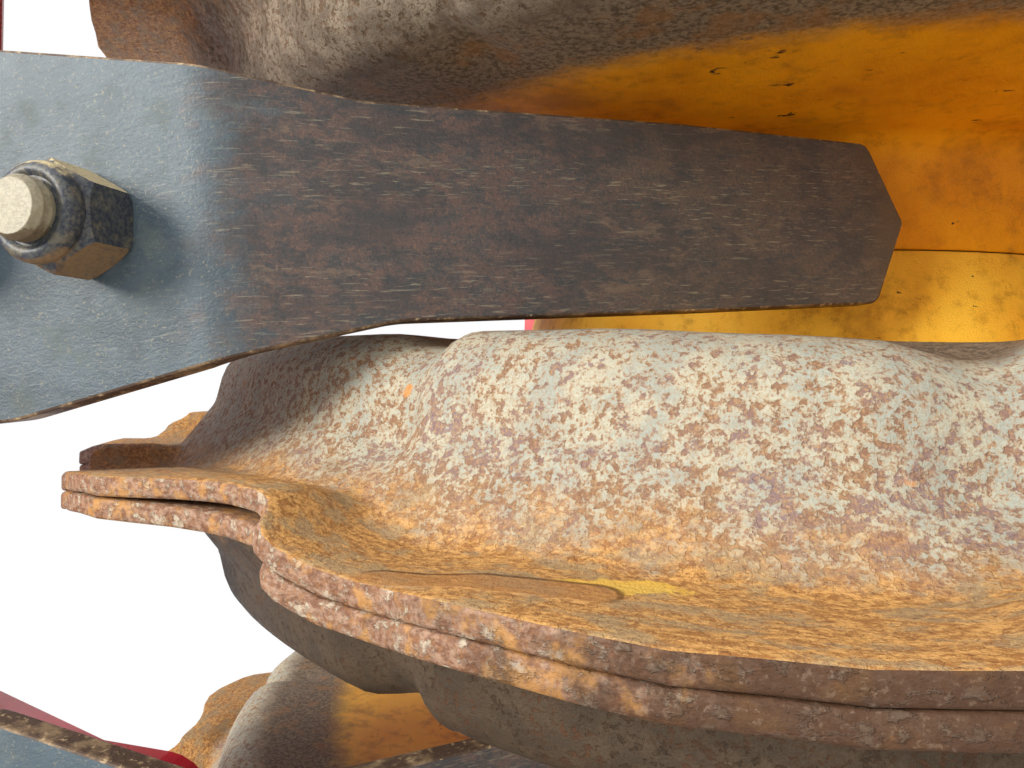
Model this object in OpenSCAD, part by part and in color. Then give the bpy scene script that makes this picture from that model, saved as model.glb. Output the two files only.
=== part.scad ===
// Steel ring packer roller section with its frame and scrapers.
// The roller axle lies along X, the machine travels along +Y, and Z is up.
// The origin is the centre of the mounting plate's front face.

/* [Rings] */
// Number of rings on the roller
ring_count = 8; // [2:1:12]
// Diameter over the tips of the lobes
ring_d = 550; // [540:1:580]
// Distance from one ring to the next
ring_pitch = 140; // [139:1:160]
// Thickness of the pressed sheet
sheet_t = 4; // [3:0.5:4.5]
// Slit left between the two sheets at the rim
rim_slit = 0.4; // [0.2:0.1:1]
// Radial width of the flat rim flange
flange_w = 31; // [29:1:36]
// Distance from the rim's middle to the top of the steep side wall
wall_x = 38; // [37:0.1:40]
// Outside diameter of the neck between two rings
neck_d = 220; // [200:1:230]
// Slope of the neck towards the seam, in degrees
neck_slope = 12; // [8:1:14]

/* [Lobes] */
// Number of lobes round a rim
lobe_count = 14; // [12:1:16]
// Depth of the step at the start of each lobe
lobe_step = 18; // [8:1:20]
// Part of a lobe over which the rim climbs back to full radius
lobe_rise = 0.45; // [0.3:0.05:0.7]
// Angle above the rear horizontal at which one lobe ends, in degrees
lobe_end_a = 13.6; // [0:0.1:25]

/* [Roller core] */
// Wall of the tube that carries the rings
core_wall = 6; // [4:1:10]
// Clearance between the rings' necks and the tube
core_fit = 0.3; // [0.2:0.1:0.5]
// Thickness of the discs that close the roller's ends
end_disc_t = 10; // [6:1:14]
// Diameter of the stub shafts
shaft_d = 50; // [40:1:60]
// Diameter of each stub shaft's weld hub
hub_d = 96; // [80:1:110]
// Thickness of the weld hub
hub_t = 12; // [8:1:16]

/* [Bearings] */
// Radial clearance of a shaft in its bearing
shaft_fit = 0.05; // [0.02:0.01:0.08]
// Outside diameter of the bearing insert
insert_d = 90; // [84:1:94]
// Length of the bearing insert along the axle
insert_len = 34; // [28:1:40]
// Side length of the housing's square flange
housing_w = 136; // [130:1:150]
// Thickness of the housing's flange
housing_t = 14; // [10:1:18]
// Outside diameter of the housing's boss
boss_d = 116; // [112:1:124]
// Distance from the housing's bolts to the flange's edges
housing_edge = 14; // [13:0.5:15]
// Diameter of the housing's bolt holes
housing_hole_d = 13.5; // [11:0.5:15]
// Side clearance between a roller end and its arm
side_gap = 10; // [8:1:20]

/* [Frame] */
// Distance of the cross beam in front of the axle
beam_ahead = 360; // [350:1:400]
// Height of the cross beam above the axle
beam_above = 170; // [150:1:200]
// Side length of the cross beam's square tube
beam_w = 100; // [90:1:110]
// Wall of the cross beam
beam_wall = 6; // [4:1:8]
// Thickness of the side arms
arm_t = 15; // [10:1:20]
// Half width of an arm round the bearing
arm_round_r = 78; // [74:1:90]
// Edge that the arms keep round the beam and the scraper bar
arm_margin = 14; // [8:1:20]
// Thickness of the corner gussets
gusset_t = 8; // [6:1:12]
// Leg length of the corner gussets
gusset_leg = 70; // [50:1:80]

/* [Mounting plate] */
// Width of the mounting plate
plate_w = 260; // [240:1:320]
// Height of the mounting plate
plate_h = 200; // [190:1:240]
// Thickness of the mounting plate
plate_t = 20; // [12:1:25]
// Sideways distance between the mounting bolts
plate_pitch_x = 200; // [180:1:210]
// Upright distance between the mounting bolts
plate_pitch_z = 146; // [142:1:150]
// Diameter of the mounting holes
plate_hole_d = 22; // [18:1:24]

/* [Scrapers] */
// Radial clearance of a scraper's tip over the seam
tip_clear = 12; // [10:0.5:14]
// Angle of the tips below the rear horizontal, in degrees
tip_a = 12.5; // [8:0.5:16]
// Angle at which the blades rise from the tip, in degrees
blade_a = 49; // [47:0.5:51]
// Angle at which their bolted ends rise, in degrees
end_a = 84; // [80:1:90]
// Distance from the tip to the bend
bend_s = 174; // [170:1:180]
// Distance from the bend to the first bolt
bend_to_bolt = 28; // [26:1:32]
// Radius of the bend on the outer face
bend_r = 20; // [14:1:24]
// Swing of each blade about its first bolt, in degrees
blade_yaw = 5.5; // [4.5:0.1:6]
// Sideways place of the first bolt from the seam
bolt_shift = -11.1; // [-12.5:0.1:-9]
// Thickness of a blade
blade_t = 6; // [5:0.5:7]
// Width of a blade at its tip
blade_w = 42.8; // [38:0.2:44]
// Width of a blade at its bolted end
blade_end_w = 74; // [66:1:78]
// Length of a blade's narrow part
blade_neck_len = 138; // [126:1:142]
// Distance between a blade's two bolts
blade_bolt_pitch = 40; // [36:1:48]
// Diameter of the scraper bolts' holes
blade_hole_d = 13; // [12.5:0.5:14]
// Edge distance from the last bolt to the blade's end
blade_edge = 20; // [16:1:24]
// Thickness of the lug behind a blade
lug_t = 10; // [8:1:12]
// Width of the lug behind a blade
lug_w = 56; // [48:1:60]
// Thickness of the ribs that stiffen a lug
rib_t = 6; // [4:1:8]
// Side length of the scraper bar's square tube
bar_w = 60; // [50:1:70]
// Wall of the scraper bar
bar_wall = 5; // [4:1:8]
// Thickness of the feet that close the scraper bar
foot_t = 10; // [6:1:12]

/* [Corner rounding] */
// Outer corners of the cross beam
beam_corner_r = 10; // [8:1:14]
// Outer corners of the scraper bar and its feet
bar_corner_r = 8; // [6:1:10]
// Corners of the mounting plate
plate_corner_r = 15; // [5:1:25]
// Corners of the housings' flanges
housing_corner_r = 14; // [8:1:14]
// Corners of the arms at the cross beam
arm_corner_r = 20; // [10:1:25]
// Inner bends of the arms beside the bearings
arm_bend_r = 90; // [60:1:100]
// Corners of the lugs and of the blades' bolted ends
blade_corner_r = 12; // [6:1:14]

/* [Hidden] */

red = [0.70, 0.05, 0.08];
rust = [0.55, 0.30, 0.14];
dark_steel = [0.20, 0.21, 0.24];
bright_steel = [0.62, 0.62, 0.62];
cast_grey = [0.28, 0.28, 0.30];

arc_steps = 6;
$fn = 64;

// Rings
ring_r = ring_d / 2;
root_r = ring_r - flange_w;
neck_r = neck_d / 2;
half_pitch = ring_pitch / 2;
sheet_in = rim_slit / 2;
sheet_out = sheet_in + sheet_t;
roller_half = ring_count * half_pitch;
root_fillet = 7;
shoulder_x = 20;
shoulder_drop = 11.5;
shoulder_r = 10;
crest_drop = 18;
crest_r = 18;
wall_lean = 1.4;
wall_fillet = 9;
wall_foot_r = neck_r + (half_pitch - wall_x - wall_lean) * tan(neck_slope);

// Axle, roller ends and bearings, as distances from the roller's middle
axle_y = -plate_t - beam_w / 2 - beam_ahead;
axle_z = -beam_above;
disc_x = roller_half;
hub_x = disc_x + end_disc_t;
arm_x = hub_x + hub_t + side_gap;
housing_x = arm_x + arm_t;
insert_x = housing_x + housing_t / 4;
boss_len = insert_len;
collar_x = insert_x + insert_len + 0.3;
collar_t = 12;
collar_d = shaft_d + 22;
shaft_end_x = collar_x + collar_t + 8;
arm_hole_r = shaft_d / 2 + 9;
housing_bolt_pitch = housing_w - 2 * housing_edge;

// Scrapers: places behind and above the axle, then distances along the bolted end
tip_n = (neck_r + tip_clear) * cos(tip_a);
tip_l = -(neck_r + tip_clear) * sin(tip_a);
bolt_n = tip_n + bend_s * cos(blade_a) + bend_to_bolt * cos(end_a);
bolt_l = tip_l + bend_s * sin(blade_a) + bend_to_bolt * sin(end_a);
fold_a = end_a - blade_a;
end_len = blade_bolt_pitch + blade_edge;
bar_s = end_len + bar_w / 2 + 4;
bar_h = blade_t + lug_t / 2;
bar_n = bolt_n + bar_s * cos(end_a) - bar_h * sin(end_a);
bar_l = bolt_l + bar_s * sin(end_a) + bar_h * cos(end_a);
bar_half = arm_x - foot_t;
foot_w = bar_w + 2 * arm_margin - 4;

function unit(v) = v / norm(v);
function cross2(a, b) = a[0] * b[1] - a[1] * b[0];
function right_of(d) = [d[1], -d[0]];

// Arc of radius r that rounds the corner b between a and c
function corner(a, b, c, r) =
    let (u = unit(a - b), v = unit(c - b), half = acos(u * v) / 2)
    let (m = b + unit(u + v) * r / sin(half), p = b + u * r / tan(half) - m)
    let (sweep = (180 - 2 * half) * sign(cross2(u, v)) * -1, from = atan2(p[1], p[0]))
    [for (i = [0 : arc_steps]) m + r * [cos(from + sweep * i / arc_steps), sin(from + sweep * i / arc_steps)]];

function xy(v) = [v[0], v[1]];

// Points of an open path of [x, y, corner radius]
function open_path(pts) = concat(
    [xy(pts[0])],
    [for (i = [1 : len(pts) - 2]) each corner(xy(pts[i - 1]), xy(pts[i]), xy(pts[i + 1]), pts[i][2])],
    [xy(pts[len(pts) - 1])]);

// Points of a closed outline of [x, y, corner radius]
function closed_path(pts) = let (n = len(pts))
    [for (i = [0 : n - 1]) each
        corner(xy(pts[(i + n - 1) % n]), xy(pts[i]), xy(pts[(i + 1) % n]), pts[i][2])];

// The same open path moved to its right by t, as the other face of a sheet
function moved_right(pts, t) = let (n = len(pts))
    [for (i = [0 : n - 1])
        let (here = xy(pts[i]),
             d0 = i > 0 ? unit(here - xy(pts[i - 1])) : unit(xy(pts[1]) - here),
             d1 = i < n - 1 ? unit(xy(pts[i + 1]) - here) : d0,
             n0 = right_of(d0), n1 = right_of(d1),
             p = here + t * (n0 + n1) / (1 + n0 * n1))
        [p[0], p[1], pts[i][2] + t * sign(cross2(d0, d1))]];

// Half a ring in section: x from the rim's middle, y as radius, corner radius
half_ring = [
    [sheet_out, ring_r, 0],
    [sheet_out, root_r, root_fillet],
    [shoulder_x, root_r - shoulder_drop, shoulder_r],
    [wall_x, root_r - crest_drop, crest_r],
    [wall_x + wall_lean, wall_foot_r, wall_fillet],
    [half_pitch, neck_r, 0]];

// Rim radius at part u of a lobe, from one step to the next
function lobe_r(u) =
    let (v = max(0, 1 - u / lobe_rise), w = max(0, (u - 0.93) / 0.07))
    ring_r - lobe_step * v * v * (3 - 2 * v) - 4 * w * w;
lobe_marks = [0, 0.06, 0.12, 0.18, 0.25, 0.33, 0.45, 0.6, 0.75, 0.9, 0.94, 0.97, 0.99];
function lobe_outline() =
    [for (k = [0 : lobe_count - 1], u = lobe_marks)
        let (a = lobe_end_a + (k + u) * 360 / lobe_count) lobe_r(u) * [cos(a), sin(a)]];

// Frame at the axle: x to the rear, y up, z to the part's -X
module axle_frame(x = 0) {
    translate([x, axle_y, axle_z]) rotate([90, 0, -90]) children();
}

// Frame at a blade's first bolt: x up its bolted end, y towards its back, z to the part's -X
module bolt_frame(k) {
    axle_frame((k - ring_count / 2) * ring_pitch)
        translate([bolt_n, bolt_l, -bolt_shift]) rotate([0, 0, end_a]) children();
}

// Flat shape in the plane of a blade's face, from depth y0 and of thickness t
module facing(y0, t) {
    translate([0, y0, 0]) rotate([-90, 0, 0]) linear_extrude(t) children();
}

// Rectangle of width w and height h about the origin, with corners of radius r
module rounded(w, h, r) {
    polygon(closed_path([for (p = [[1, 1], [-1, 1], [-1, -1], [1, -1]]) [p[0] * w / 2, p[1] * h / 2, r]]));
}

module square_tube(w, wall, half_len, r) {
    rotate([0, 90, 0]) translate([0, 0, -half_len]) linear_extrude(2 * half_len) difference() {
        rounded(w, w, r);
        rounded(w - 2 * wall, w - 2 * wall, r - wall + 1);
    }
}

// side is 1 for the half towards the part's -X and -1 for the other half
module half_ring_shell(side) {
    outer = open_path(half_ring);
    inner = open_path(moved_right(half_ring, sheet_t));
    color(rust) intersection() {
        rotate_extrude($fn = 128)
            polygon([for (p = concat(outer, [for (i = [len(inner) - 1 : -1 : 0]) inner[i]]))
                [p[1], side * p[0]]]);
        translate([0, 0, -half_pitch]) linear_extrude(ring_pitch) polygon(lobe_outline());
    }
}

module ring_left(k) {
    axle_frame((k - (ring_count + 1) / 2) * ring_pitch) half_ring_shell(1);
}

module ring_right(k) {
    axle_frame((k - (ring_count + 1) / 2) * ring_pitch) half_ring_shell(-1);
}

module core_tube() {
    core_r = neck_r - sheet_t - core_fit;
    color(rust) axle_frame() translate([0, 0, -roller_half]) linear_extrude(2 * roller_half) difference() {
        circle(core_r);
        circle(core_r - core_wall);
    }
}

// side is 1 at the right end and -1 at the left end
module end_disc(side) {
    color(rust) axle_frame(side * (disc_x + end_disc_t / 2))
        cylinder(h = end_disc_t, r = neck_r, center = true);
}

module shaft(side) {
    color(bright_steel) translate([side * hub_x, axle_y, axle_z]) rotate([0, side * 90, 0]) {
        cylinder(h = hub_t, d = hub_d);
        cylinder(h = shaft_end_x - hub_x, d = shaft_d);
    }
}

module collar(side) {
    color(dark_steel) translate([side * collar_x, axle_y, axle_z]) rotate([0, side * 90, 0]) difference() {
        cylinder(h = collar_t, d = collar_d);
        translate([0, 0, -1]) cylinder(h = collar_t + 2, d = shaft_d);
    }
}

module bearing(side) {
    color(bright_steel) translate([side * insert_x, axle_y, axle_z]) rotate([0, side * 90, 0]) difference() {
        cylinder(h = insert_len, d = insert_d);
        translate([0, 0, -1]) cylinder(h = insert_len + 2, d = shaft_d + 2 * shaft_fit);
    }
}

module housing(side) {
    color(cast_grey) translate([side * housing_x, axle_y, axle_z]) rotate([0, side * 90, 0]) difference() {
        union() {
            linear_extrude(housing_t) rounded(housing_w, housing_w, housing_corner_r);
            cylinder(h = boss_len, d = boss_d);
        }
        translate([0, 0, housing_t / 4]) cylinder(h = boss_len, d = insert_d);
        translate([0, 0, -1]) cylinder(h = boss_len, r = arm_hole_r);
        for (i = [-1, 1], j = [-1, 1])
            translate([i * housing_bolt_pitch / 2, j * housing_bolt_pitch / 2, -1])
                cylinder(h = housing_t + 2, d = housing_hole_d);
    }
}

module arm(side) {
    front = -beam_ahead - beam_w / 2 - arm_margin;
    beam_top = beam_above + beam_w / 2 + arm_margin;
    beam_low = beam_above - beam_w / 2 - arm_margin;
    knee = arm_round_r + 30;
    low = arm_round_r + 10;
    bar_reach = foot_w / 2 * (sin(end_a) + cos(end_a)) + 6;
    outline = [
        [front, beam_top, arm_corner_r],
        [-beam_ahead + beam_w / 2 + arm_margin, beam_top, arm_corner_r],
        [-knee, knee, arm_bend_r],
        [arm_round_r, knee, arm_bend_r],
        [bar_n - bar_reach, bar_l + bar_reach, arm_margin],
        [bar_n + bar_reach, bar_l + bar_reach, arm_margin],
        [bar_n + bar_reach, bar_l - bar_reach, arm_corner_r],
        [low, -arm_round_r, arm_round_r - 8],
        [-low, -arm_round_r, arm_round_r - 8],
        [front, beam_low, arm_corner_r]];
    color(red) axle_frame(side * (arm_x + arm_t / 2)) difference() {
        translate([0, 0, -arm_t / 2]) linear_extrude(arm_t) polygon(closed_path(outline));
        cylinder(h = arm_t + 2, r = arm_hole_r, center = true);
        for (i = [-1, 1], j = [-1, 1])
            translate([i * housing_bolt_pitch / 2, j * housing_bolt_pitch / 2, 0])
                cylinder(h = arm_t + 2, d = housing_hole_d, center = true);
    }
}

module gusset(side) {
    color(red) translate([side * arm_x, -plate_t - beam_w, beam_w / 2 - gusset_t - 6])
        linear_extrude(gusset_t) polygon([[0, 0], [-side * gusset_leg, 0], [0, -gusset_leg]]);
}

module cross_beam() {
    color(red) translate([0, -plate_t - beam_w / 2, 0]) square_tube(beam_w, beam_wall, arm_x, beam_corner_r);
}

module mounting_plate() {
    color(red) rotate([90, 0, 0]) difference() {
        linear_extrude(plate_t) rounded(plate_w, plate_h, plate_corner_r);
        for (i = [-1, 1], j = [-1, 1])
            translate([i * plate_pitch_x / 2, j * plate_pitch_z / 2, -1])
                cylinder(h = plate_t + 2, d = plate_hole_d);
    }
}

module scraper_bar() {
    color(red) axle_frame() translate([bar_n, bar_l, 0]) rotate([0, 0, end_a]) rotate([0, 90, 0])
        square_tube(bar_w, bar_wall, bar_half, bar_corner_r);
}

module bar_foot(side) {
    color(red) axle_frame(side * (bar_half + foot_t / 2)) translate([bar_n, bar_l, -foot_t / 2])
        rotate([0, 0, end_a]) linear_extrude(foot_t) rounded(foot_w, foot_w, bar_corner_r);
}

// The two bolts' holes through a blade or its lug
module bolt_holes() {
    for (i = [0, 1]) translate([i * blade_bolt_pitch, -1, 0]) rotate([-90, 0, 0])
        cylinder(h = blade_t + lug_t + 2, d = blade_hole_d);
}

module lug(k) {
    lug_top = bar_s - bar_w / 2;
    lug_low = bend_to_bolt - 8;
    rib_h = bar_w / 2 - lug_t / 2 - bar_corner_r;
    color(red) bolt_frame(k) {
        difference() {
            facing(blade_t, lug_t) polygon(closed_path([
                [-lug_low, lug_w / 2, blade_corner_r],
                [-lug_low, -lug_w / 2, blade_corner_r],
                [lug_top, -lug_w / 2, 1],
                [lug_top, lug_w / 2, 1]]));
            bolt_holes();
        }
        for (z = [-lug_w / 2, lug_w / 2 - rib_t])
            translate([0, blade_t + lug_t, z]) linear_extrude(rib_t)
                polygon([[bend_to_bolt / 3, 0], [lug_top, 0], [lug_top, rib_h]]);
    }
}

// A blade's sheet seen from the side, straight up to its bolted end and as wide as needed
module bent_strip() {
    tip = [-bend_to_bolt - bend_s * cos(fold_a), bend_s * sin(fold_a)];
    face = [[end_len, 0, 0], [-bend_to_bolt, 0, bend_r], [tip[0], tip[1], 0]];
    outer = open_path(face);
    inner = open_path(moved_right(face, blade_t));
    translate([0, 0, -blade_end_w]) linear_extrude(2 * blade_end_w)
        polygon(concat(outer, [for (i = [len(inner) - 1 : -1 : 0]) inner[i]]));
}

// Outlines of a blade: the pointed tip, the neck that widens over the bend, the bolted end
module tip_outline() {
    far = bend_s + end_len + bend_to_bolt;
    corner_s = blade_w / 4;
    polygon(closed_path([
        [0, 0, 2],
        [corner_s, -blade_w / 2, 4],
        [far, -blade_w / 2 - 3, 1],
        [far, blade_w / 2 + 3, 1],
        [corner_s, blade_w / 2, 4]]));
}

module neck_outline() {
    shorter = cos(fold_a / 2);
    neck = (blade_neck_len - bend_s) * shorter;
    wide = (bend_to_bolt + 15) * shorter;
    near = -(bend_s + 20) * shorter;
    far = (bend_to_bolt + end_len + 20) * shorter;
    polygon(closed_path([
        [near, blade_w / 2 + 2, 1],
        [near, -blade_w / 2 - 2, 1],
        [neck, -blade_w / 2, 40],
        [wide, -blade_end_w / 2, 40],
        [far, -blade_end_w / 2, 1],
        [far, blade_end_w / 2, 1],
        [wide, blade_end_w / 2, 40],
        [neck, blade_w / 2, 40]]));
}

module end_outline() {
    far = -bend_to_bolt - bend_s;
    polygon(closed_path([
        [far, blade_end_w, 1],
        [far, -blade_end_w, 1],
        [end_len, -blade_end_w / 2, blade_corner_r],
        [end_len, blade_end_w / 2, blade_corner_r]]));
}

module scraper(k) {
    deep = 2 * bend_s;
    color(dark_steel) bolt_frame(k) difference() {
        rotate([0, -blade_yaw, 0]) intersection() {
            bent_strip();
            facing(-deep, 2 * deep) end_outline();
            translate([-bend_to_bolt, 0, 0]) rotate([0, 0, -fold_a / 2])
                facing(-deep, 2 * deep) neck_outline();
            translate([-bend_to_bolt, 0, 0]) rotate([0, 0, -fold_a]) translate([-bend_s, 0, 0])
                facing(-deep, 2 * deep) tip_outline();
        }
        bolt_holes();
    }
}

mounting_plate();
cross_beam();
arm(-1);  // arm_left
arm(1);  // arm_right
gusset(-1);  // gusset_left
gusset(1);  // gusset_right
housing(-1);  // housing_left
housing(1);  // housing_right
bearing(-1);  // bearing_left
bearing(1);  // bearing_right
scraper_bar();
bar_foot(-1);  // bar_foot_left
bar_foot(1);  // bar_foot_right
core_tube();
end_disc(-1);  // end_disc_left
end_disc(1);  // end_disc_right
shaft(-1);  // shaft_left
shaft(1);  // shaft_right
collar(-1);  // collar_left
collar(1);  // collar_right
for (k = [1 : ring_count - 1]) {
    lug(k);
    scraper(k);
}
for (k = [1 : ring_count]) {
    ring_left(k);
    ring_right(k);
}
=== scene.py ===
# %% [markdown]
# # A ring packer roller section, dressed for its photograph
# The object is the rear roller of a disc harrow: eight steel rings with lobed rims on one axle,
# scrapers that reach into the grooves between them, and the red frame that carries it all.
# The packed CAD model comes first, because each new piece takes its place from it.

# %% Load the packed model
import math

import bmesh
import bpy
from mathutils import Matrix, Vector


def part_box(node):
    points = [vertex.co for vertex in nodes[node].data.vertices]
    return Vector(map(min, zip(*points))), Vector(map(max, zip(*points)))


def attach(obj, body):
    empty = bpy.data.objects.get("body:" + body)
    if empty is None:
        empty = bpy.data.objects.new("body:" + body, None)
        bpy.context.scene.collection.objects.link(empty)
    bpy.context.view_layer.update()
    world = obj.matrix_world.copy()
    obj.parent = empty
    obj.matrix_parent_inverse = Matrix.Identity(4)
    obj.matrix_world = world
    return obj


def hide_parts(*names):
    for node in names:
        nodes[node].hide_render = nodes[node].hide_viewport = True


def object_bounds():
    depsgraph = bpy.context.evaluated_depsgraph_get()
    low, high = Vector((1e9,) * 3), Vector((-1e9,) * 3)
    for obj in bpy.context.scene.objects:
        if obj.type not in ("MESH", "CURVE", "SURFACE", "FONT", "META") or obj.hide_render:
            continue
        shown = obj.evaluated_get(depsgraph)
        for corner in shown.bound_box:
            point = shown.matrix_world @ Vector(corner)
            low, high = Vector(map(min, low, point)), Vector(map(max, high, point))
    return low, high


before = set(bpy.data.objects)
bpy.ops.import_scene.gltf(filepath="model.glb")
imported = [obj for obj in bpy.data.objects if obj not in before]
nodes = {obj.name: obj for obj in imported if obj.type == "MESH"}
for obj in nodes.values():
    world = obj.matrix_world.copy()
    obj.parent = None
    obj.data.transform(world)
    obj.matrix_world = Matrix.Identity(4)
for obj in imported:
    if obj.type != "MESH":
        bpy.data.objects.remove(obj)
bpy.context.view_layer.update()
MM = 0.001

# %% [markdown]
# The CAD model has its own sizes, and this script can't read its source, so the sizes that
# the new pieces share with it are written once here, in metres. The axle frame is the one in
# which a ring is turned: its X axis points to the rear, Y points up and Z to the part's -X.

# %% Sizes shared with the CAD model
RING_COUNT = 8
PITCH = 140 * MM
RING_R = 275 * MM
ROOT_R = 244 * MM
SHEET = 4 * MM
LOBES = 14
LOBE_START = math.radians(13.6)
LOBE_ANGLE = math.tau / LOBES
AXLE = Vector((0, -430 * MM, -170 * MM))
AXLE_TURN = Matrix(((0, 0, -1), (-1, 0, 0), (0, 1, 0))).to_4x4()
END_RISE = math.radians(84)
FOLD = math.radians(84 - 49)
BEND_R = 20 * MM
BLADE_YAW = math.radians(5.5)
BLADE_T = 6 * MM
LUG_T = 10 * MM
BEND_TO_BOLT = 28 * MM
BOLT_PITCH = 40 * MM
BOLT_SHIFT = -11.1 * MM
BOLT = Vector((236.189 * MM, 132.761 * MM, -BOLT_SHIFT))


def axle_place(x):
    """The axle frame with its origin at x along the axle."""
    return Matrix.Translation(AXLE + Vector((x, 0, 0))) @ AXLE_TURN


def ring_x(k):
    return (k - (RING_COUNT + 1) / 2) * PITCH


def bolt_place(k):
    """At scraper k's first bolt: X runs up its bolted end, Y to its back and Z to the part's -X."""
    return axle_place((k - RING_COUNT / 2) * PITCH) @ Matrix.Translation(BOLT) @ Matrix.Rotation(
        END_RISE, 4, "Z")


print("ring places:", [round(ring_x(k), 3) for k in range(1, RING_COUNT + 1)])

# %% [markdown]
# The photograph is a close view from behind the roller, with the camera on its side: the
# axle runs up the picture. Its place and turn were solved from the rims, crests and seams
# that can be measured in the photograph, so that it wasn't set by eye.

# %% The camera at the photograph's viewpoint
camera_data = bpy.data.cameras.new("photo_camera")
camera = bpy.data.objects.new("photo_camera", camera_data)
bpy.context.scene.collection.objects.link(camera)
bpy.context.scene.camera = camera
CAMERA_BACK = 351.25 * MM
CAMERA_SIDE = -38.43 * MM
CAMERA_TURNS = (20.35, -0.74, 1.51)
camera_data.sensor_width = 36
camera_data.lens = 27.04
camera_data.clip_start = 0.01
turn, pitch, roll = (math.radians(a) for a in CAMERA_TURNS)
ahead = Vector((0, math.cos(turn), math.sin(turn)))
across = Vector((0, math.sin(turn), -math.cos(turn)))
up = Vector((1, 0, 0))
ahead, up = (ahead * math.cos(pitch) + up * math.sin(pitch),
             up * math.cos(pitch) - ahead * math.sin(pitch))
across, up = (across * math.cos(roll) + up * math.sin(roll),
              up * math.cos(roll) - across * math.sin(roll))
camera.matrix_world = Matrix.Translation((CAMERA_SIDE, AXLE.y - CAMERA_BACK, AXLE.z)) @ Matrix(
    (across, up, -ahead)).transposed().to_4x4()
print("camera at", [round(c, 3) for c in camera.matrix_world.translation])

# %% [markdown]
# Worn steel needs several layers of pattern in one material. This small class keeps the node
# work short: each call adds one node and returns its output, so a finish reads like a recipe.
# Every pattern is taken from Object coordinates, which the roller carries with it as it turns.


# %% A short way to write a finish
class Finish:
    def __init__(self, name, roughness=0.6, metallic=0.0, specular=0.5):
        self.material = bpy.data.materials.new(name)
        self.material.use_nodes = True
        self.tree = self.material.node_tree
        self.shader = self.tree.nodes["Principled BSDF"]
        self.shader.inputs["Roughness"].default_value = roughness
        self.shader.inputs["Metallic"].default_value = metallic
        self.shader.inputs["Specular IOR Level"].default_value = specular
        self.place = self.add("TexCoord").outputs["Object"]

    def add(self, kind, feeds=(), **settings):
        made = self.tree.nodes.new("ShaderNode" + kind)
        for name, value in settings.items():
            setattr(made, name, value)
        for name, value in dict(feeds).items():
            self.feed(made.inputs[name], value)
        return made

    def feed(self, socket, value):
        if isinstance(value, bpy.types.NodeSocket):
            self.tree.links.new(value, socket)
        elif socket.type == "RGBA" and len(value) == 3:
            socket.default_value = (*value, 1)
        else:
            socket.default_value = value

    def maths(self, operation, a, b=0.0, clamp=False):
        return self.add("Math", {0: a, 1: b}, operation=operation, use_clamp=clamp).outputs[0]

    def split(self, vector):
        return self.add("SeparateXYZ", {0: vector}).outputs

    def join(self, x, y, z):
        return self.add("CombineXYZ", {0: x, 1: y, 2: z}).outputs[0]

    def stretch(self, vector, scale, turn=(0, 0, 0), shift=(0, 0, 0)):
        return self.add("Mapping", {"Vector": vector, "Scale": scale, "Rotation": turn,
                                    "Location": shift}).outputs[0]

    def grain(self, size, detail=4.0, roughness=0.55, vector=None):
        """Noise whose features are about size metres wide."""
        return self.add("TexNoise", {"Vector": vector or self.place, "Scale": 1 / size,
                                     "Detail": detail, "Roughness": roughness}).outputs["Fac"]

    def step(self, value, low, high):
        """0 below low, 1 above high and smooth between them."""
        return self.add("MapRange", {"Value": value, "From Min": low, "From Max": high},
                        interpolation_type="SMOOTHSTEP").outputs[0]

    def mix(self, share, a, b, blend="MIX"):
        return self.add("Mix", {0: share, 6: a, 7: b}, data_type="RGBA", blend_type=blend).outputs[2]

    def times(self, *values):
        made = values[0]
        for value in values[1:]:
            made = self.maths("MULTIPLY", made, value)
        return made

    def plus(self, *values):
        made = values[0]
        for value in values[1:]:
            made = self.maths("ADD", made, value)
        return made

    def finish(self, colour, roughness=None, height=None, depth=0.3 * MM):
        self.feed(self.shader.inputs["Base Color"], colour)
        if roughness is not None:
            self.feed(self.shader.inputs["Roughness"], roughness)
        if height is not None:
            bump = self.add("Bump", {"Height": height, "Distance": depth, "Strength": 1.0})
            self.feed(self.shader.inputs["Normal"], bump.outputs[0])
        return self.material

    def around_axle(self):
        """Turn angle, radius and place along the axle, of any point of the roller."""
        x, y, z = self.split(self.place)
        rear = self.maths("SUBTRACT", AXLE.y, y)
        rise = self.maths("SUBTRACT", z, AXLE.z)
        angle = self.maths("ARCTAN2", rise, rear)
        radius = self.maths("SQRT", self.plus(self.times(rear, rear), self.times(rise, rise)))
        return angle, radius, x


print("calls for a finish:", [name for name in vars(Finish) if not name.startswith("_")])

# %% [markdown]
# The rings wear in zones. The flange at the rim is bright orange rust, drawn out along the
# rim by the soil. The flank above it is bare grey steel under a mesh of brown and purple rust
# spots. The deep wall keeps its amber paint, with chips; on the half rings that face the part's
# right this paint is painted lighter and paler, as painted light for the sunlit strip below the
# seam. The zones follow the distance from the axle, so one material holds them all and the
# borders stay ragged, as real ones are. The half rings that face the part's left are darker and
# browner, and from the fifth ring on they are painted lighter, as painted light that makes up
# for the shadow which the blade and the ring beside them cast there.


# %% Ring steel, with its zones by radius
RIM_ARC = 250 * MM  # an angle times this is a length along the rim


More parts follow.
